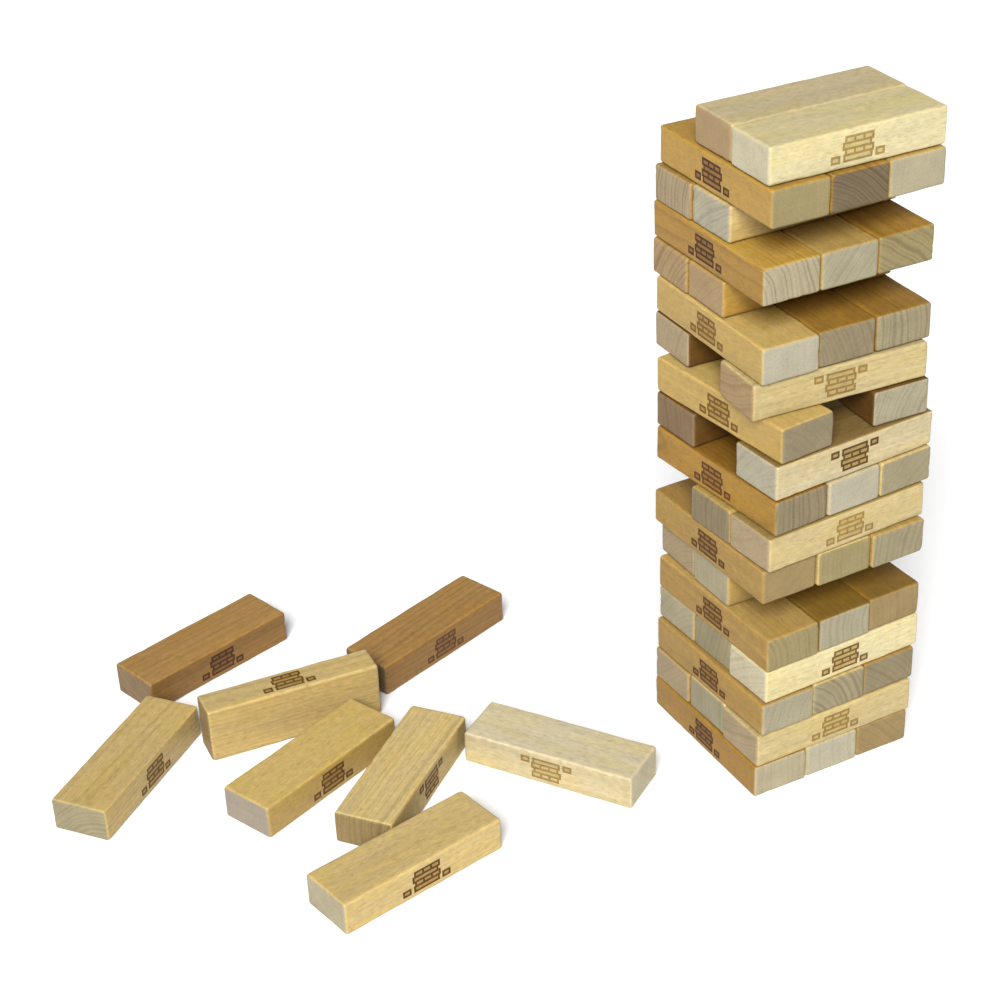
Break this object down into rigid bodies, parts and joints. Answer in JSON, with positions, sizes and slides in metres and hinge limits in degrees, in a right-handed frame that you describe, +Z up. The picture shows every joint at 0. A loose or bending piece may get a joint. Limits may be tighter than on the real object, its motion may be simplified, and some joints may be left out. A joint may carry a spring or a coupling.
{
  "type": "tumbling tower game",
  "caption": "Crosswise tower of plain wooden bars in a part-played stacking game, with gaps where bars were taken out and a few bars loose on the table beside it.",
  "frame": {"origin": "centre of the underside of the lowest course's middle block, on the table under the tower", "axes": "+Z up; -Y is the front, the side that shows the ends of the lowest course's blocks; -X is the left, the side the loose blocks lie on"},
  "size_m": [0.3305, 0.2251, 0.2697],
  "materials": {
    "cream": "pale cream hardwood, bare and finely sanded, almost no figure",
    "straw": "pale straw-yellow hardwood, bare and sanded, fine grain",
    "gold": "golden tan hardwood, bare and sanded, fine grain and short flecks",
    "honey": "honey-brown hardwood, bare and sanded, darker grain lines",
    "sand": "grey-beige hardwood, bare and sanded, growth rings on the ends",
    "rose": "pinkish tan hardwood, bare and sanded, fine flecks",
    "brown": "reddish brown hardwood, bare and sanded, fine grain"
  },
  "bodies": {
    "course_01_left": {"course_01_left": "gold"},
    "course_01_middle": {"course_01_middle": "straw"},
    "course_01_right": {"course_01_right": "brown"},
    "course_02_front": {"course_02_front": "straw"},
    "course_02_middle": {"course_02_middle": "sand"},
    "course_02_back": {"course_02_back": "rose"},
    "course_03_left": {"course_03_left": "gold"},
    "course_03_middle": {"course_03_middle": "sand"},
    "course_03_right": {"course_03_right": "rose"},
    "course_04_front": {"course_04_front": "cream"},
    "course_04_middle": {"course_04_middle": "sand"},
    "course_04_back": {"course_04_back": "sand"},
    "course_05_left": {"course_05_left": "gold"},
    "course_05_middle": {"course_05_middle": "rose"},
    "course_05_right": {"course_05_right": "honey"},
    "course_06_middle": {"course_06_middle": "sand"},
    "course_06_back": {"course_06_back": "rose"},
    "course_07_left": {"course_07_left": "gold"},
    "course_07_middle": {"course_07_middle": "sand"},
    "course_07_right": {"course_07_right": "sand"},
    "course_08_front": {"course_08_front": "cream"},
    "course_08_middle": {"course_08_middle": "sand"},
    "course_09_left": {"course_09_left": "gold"},
    "course_09_middle": {"course_09_middle": "cream"},
    "course_09_right": {"course_09_right": "sand"},
    "course_10_front": {"course_10_front": "cream"},
    "course_10_back": {"course_10_back": "rose"},
    "course_11_left": {"course_11_left": "gold"},
    "course_11_right": {"course_11_right": "sand"},
    "course_12_front": {"course_12_front": "straw"},
    "course_12_back": {"course_12_back": "rose"},
    "course_13_left": {"course_13_left": "gold"},
    "course_13_middle": {"course_13_middle": "sand"},
    "course_13_right": {"course_13_right": "sand"},
    "course_14_middle": {"course_14_middle": "rose"},
    "course_14_back": {"course_14_back": "sand"},
    "course_15_left": {"course_15_left": "honey"},
    "course_15_middle": {"course_15_middle": "cream"},
    "course_15_right": {"course_15_right": "honey"},
    "course_16_middle": {"course_16_middle": "straw"},
    "course_16_back": {"course_16_back": "rose"},
    "course_17_left": {"course_17_left": "gold"},
    "course_17_middle": {"course_17_middle": "brown"},
    "course_17_right": {"course_17_right": "straw"},
    "course_18_front": {"course_18_front": "cream"},
    "course_18_middle": {"course_18_middle": "straw"},
    "loose_block_1": {"loose_block_1": "brown"},
    "loose_block_2": {"loose_block_2": "straw"},
    "loose_block_3": {"loose_block_3": "brown"},
    "loose_block_4": {"loose_block_4": "gold"},
    "loose_block_5": {"loose_block_5": "gold"},
    "loose_block_6": {"loose_block_6": "rose"},
    "loose_block_7": {"loose_block_7": "cream"},
    "loose_block_8": {"loose_block_8": "gold"}
  },
  "joints": [
    {"name": "course_01_left_slide", "type": "slide", "parent": "course_01_middle", "child": "course_01_left", "axis": [0, 1, 0], "range_m": [-0.08, 0.08]},
    {"name": "course_01_right_slide", "type": "slide", "parent": "course_01_middle", "child": "course_01_right", "axis": [0, 1, 0], "range_m": [-0.08, 0.08]},
    {"name": "course_02_front_slide", "type": "slide", "parent": "course_01_middle", "child": "course_02_front", "axis": [0.9998, 0.0175, 0], "range_m": [-0.08, 0.08]},
    {"name": "course_02_middle_slide", "type": "slide", "parent": "course_01_middle", "child": "course_02_middle", "axis": [0.9998, 0.0175, 0], "range_m": [-0.08, 0.08]},
    {"name": "course_02_back_slide", "type": "slide", "parent": "course_01_middle", "child": "course_02_back", "axis": [0.9998, 0.0175, 0], "range_m": [-0.08, 0.08]},
    {"name": "course_03_left_slide", "type": "slide", "parent": "course_01_middle", "child": "course_03_left", "axis": [-0.0262, 0.9997, 0], "range_m": [-0.08, 0.08]},
    {"name": "course_03_middle_slide", "type": "slide", "parent": "course_01_middle", "child": "course_03_middle", "axis": [-0.0262, 0.9997, 0], "range_m": [-0.08, 0.08]},
    {"name": "course_03_right_slide", "type": "slide", "parent": "course_01_middle", "child": "course_03_right", "axis": [-0.0262, 0.9997, 0], "range_m": [-0.08, 0.08]},
    {"name": "course_04_front_slide", "type": "slide", "parent": "course_01_middle", "child": "course_04_front", "axis": [0.999, 0.0436, 0], "range_m": [-0.08, 0.08]},
    {"name": "course_04_middle_slide", "type": "slide", "parent": "course_01_middle", "child": "course_04_middle", "axis": [0.999, 0.0436, 0], "range_m": [-0.08, 0.08]},
    {"name": "course_04_back_slide", "type": "slide", "parent": "course_01_middle", "child": "course_04_back", "axis": [0.999, 0.0436, 0], "range_m": [-0.08, 0.08]},
    {"name": "course_05_left_slide", "type": "slide", "parent": "course_01_middle", "child": "course_05_left", "axis": [-0.0349, 0.9994, 0], "range_m": [-0.08, 0.08]},
    {"name": "course_05_middle_slide", "type": "slide", "parent": "course_01_middle", "child": "course_05_middle", "axis": [-0.0349, 0.9994, 0], "range_m": [-0.08, 0.08]},
    {"name": "course_05_right_slide", "type": "slide", "parent": "course_01_middle", "child": "course_05_right", "axis": [-0.0349, 0.9994, 0], "range_m": [-0.08, 0.08]},
    {"name": "course_06_middle_slide", "type": "slide", "parent": "course_01_middle", "child": "course_06_middle", "axis": [1, 0, 0], "range_m": [-0.08, 0.08]},
    {"name": "course_06_back_slide", "type": "slide", "parent": "course_01_middle", "child": "course_06_back", "axis": [1, 0, 0], "range_m": [-0.08, 0.08]},
    {"name": "course_07_left_slide", "type": "slide", "parent": "course_01_middle", "child": "course_07_left", "axis": [-0.0262, 0.9997, 0], "range_m": [-0.08, 0.08]},
    {"name": "course_07_middle_slide", "type": "slide", "parent": "course_01_middle", "child": "course_07_middle", "axis": [-0.0262, 0.9997, 0], "range_m": [-0.08, 0.08]},
    {"name": "course_07_right_slide", "type": "slide", "parent": "course_01_middle", "child": "course_07_right", "axis": [-0.0262, 0.9997, 0], "range_m": [-0.08, 0.08]},
    {"name": "course_08_front_slide", "type": "slide", "parent": "course_01_middle", "child": "course_08_front", "axis": [0.9981, 0.061, 0], "range_m": [-0.08, 0.08]},
    {"name": "course_08_middle_slide", "type": "slide", "parent": "course_01_middle", "child": "course_08_middle", "axis": [0.9981, 0.061, 0], "range_m": [-0.08, 0.08]},
    {"name": "course_09_left_slide", "type": "slide", "parent": "course_01_middle", "child": "course_09_left", "axis": [-0.0785, 0.9969, 0], "range_m": [-0.08, 0.08]},
    {"name": "course_09_middle_slide", "type": "slide", "parent": "course_01_middle", "child": "course_09_middle", "axis": [-0.0785, 0.9969, 0], "range_m": [-0.08, 0.08]},
    {"name": "course_09_right_slide", "type": "slide", "parent": "course_01_middle", "child": "course_09_right", "axis": [-0.0785, 0.9969, 0], "range_m": [-0.08, 0.08]},
    {"name": "course_10_front_slide", "type": "slide", "parent": "course_01_middle", "child": "course_10_front", "axis": [0.9976, 0.0698, 0], "range_m": [-0.08, 0.08]},
    {"name": "course_10_back_slide", "type": "slide", "parent": "course_01_middle", "child": "course_10_back", "axis": [0.9976, 0.0698, 0], "range_m": [-0.08, 0.08]},
    {"name": "course_11_left_slide", "type": "slide", "parent": "course_01_middle", "child": "course_11_left", "axis": [-0.1045, 0.9945, 0], "range_m": [-0.08, 0.08]},
    {"name": "course_11_right_slide", "type": "slide", "parent": "course_01_middle", "child": "course_11_right", "axis": [0.0349, 0.9994, 0], "range_m": [-0.08, 0.08]},
    {"name": "course_12_front_slide", "type": "slide", "parent": "course_01_middle", "child": "course_12_front", "axis": [0.9981, -0.061, 0], "range_m": [-0.08, 0.08]},
    {"name": "course_12_back_slide", "type": "slide", "parent": "course_01_middle", "child": "course_12_back", "axis": [0.9998, -0.0175, 0], "range_m": [-0.08, 0.08]},
    {"name": "course_13_left_slide", "type": "slide", "parent": "course_01_middle", "child": "course_13_left", "axis": [0.0175, 0.9998, 0], "range_m": [-0.08, 0.08]},
    {"name": "course_13_middle_slide", "type": "slide", "parent": "course_01_middle", "child": "course_13_middle", "axis": [0.0175, 0.9998, 0], "range_m": [-0.08, 0.08]},
    {"name": "course_13_right_slide", "type": "slide", "parent": "course_01_middle", "child": "course_13_right", "axis": [0.0175, 0.9998, 0], "range_m": [-0.08, 0.08]},
    {"name": "course_14_middle_slide", "type": "slide", "parent": "course_01_middle", "child": "course_14_middle", "axis": [0.9998, -0.0175, 0], "range_m": [-0.08, 0.08]},
    {"name": "course_14_back_slide", "type": "slide", "parent": "course_01_middle", "child": "course_14_back", "axis": [0.9998, -0.0175, 0], "range_m": [-0.08, 0.08]},
    {"name": "course_15_left_slide", "type": "slide", "parent": "course_01_middle", "child": "course_15_left", "axis": [0.0087, 1, 0], "range_m": [-0.08, 0.08]},
    {"name": "course_15_middle_slide", "type": "slide", "parent": "course_01_middle", "child": "course_15_middle", "axis": [0.0087, 1, 0], "range_m": [-0.08, 0.08]},
    {"name": "course_15_right_slide", "type": "slide", "parent": "course_01_middle", "child": "course_15_right", "axis": [0.0087, 1, 0], "range_m": [-0.08, 0.08]},
    {"name": "course_16_middle_slide", "type": "slide", "parent": "course_01_middle", "child": "course_16_middle", "axis": [1, 0.0087, 0], "range_m": [-0.08, 0.08]},
    {"name": "course_16_back_slide", "type": "slide", "parent": "course_01_middle", "child": "course_16_back", "axis": [1, 0.0087, 0], "range_m": [-0.08, 0.08]},
    {"name": "course_17_left_slide", "type": "slide", "parent": "course_01_middle", "child": "course_17_left", "axis": [0.0087, 1, 0], "range_m": [-0.08, 0.08]},
    {"name": "course_17_middle_slide", "type": "slide", "parent": "course_01_middle", "child": "course_17_middle", "axis": [0.0087, 1, 0], "range_m": [-0.08, 0.08]},
    {"name": "course_17_right_slide", "type": "slide", "parent": "course_01_middle", "child": "course_17_right", "axis": [0.0087, 1, 0], "range_m": [-0.08, 0.08]},
    {"name": "course_18_front_slide", "type": "slide", "parent": "course_01_middle", "child": "course_18_front", "axis": [0.9998, -0.0175, 0], "range_m": [-0.08, 0.08]},
    {"name": "course_18_middle_slide", "type": "slide", "parent": "course_01_middle", "child": "course_18_middle", "axis": [0.9998, -0.0175, 0], "range_m": [-0.08, 0.08]},
    {"name": "loose_block_1_lift", "type": "slide", "parent": "course_01_middle", "child": "loose_block_1", "axis": [0, 0, 1], "range_m": [0, 0.1]},
    {"name": "loose_block_2_lift", "type": "slide", "parent": "course_01_middle", "child": "loose_block_2", "axis": [0, 0, 1], "range_m": [0, 0.1]},
    {"name": "loose_block_3_lift", "type": "slide", "parent": "course_01_middle", "child": "loose_block_3", "axis": [0, 0, 1], "range_m": [0, 0.1]},
    {"name": "loose_block_4_lift", "type": "slide", "parent": "course_01_middle", "child": "loose_block_4", "axis": [0, 0, 1], "range_m": [0, 0.1]},
    {"name": "loose_block_5_lift", "type": "slide", "parent": "course_01_middle", "child": "loose_block_5", "axis": [0, 0, 1], "range_m": [0, 0.1]},
    {"name": "loose_block_6_lift", "type": "slide", "parent": "course_01_middle", "child": "loose_block_6", "axis": [0, 0, 1], "range_m": [0, 0.1]},
    {"name": "loose_block_7_lift", "type": "slide", "parent": "course_01_middle", "child": "loose_block_7", "axis": [0, 0, 1], "range_m": [0, 0.1]},
    {"name": "loose_block_8_lift", "type": "slide", "parent": "course_01_middle", "child": "loose_block_8", "axis": [0, 0, 1], "range_m": [0, 0.1]}
  ]
}
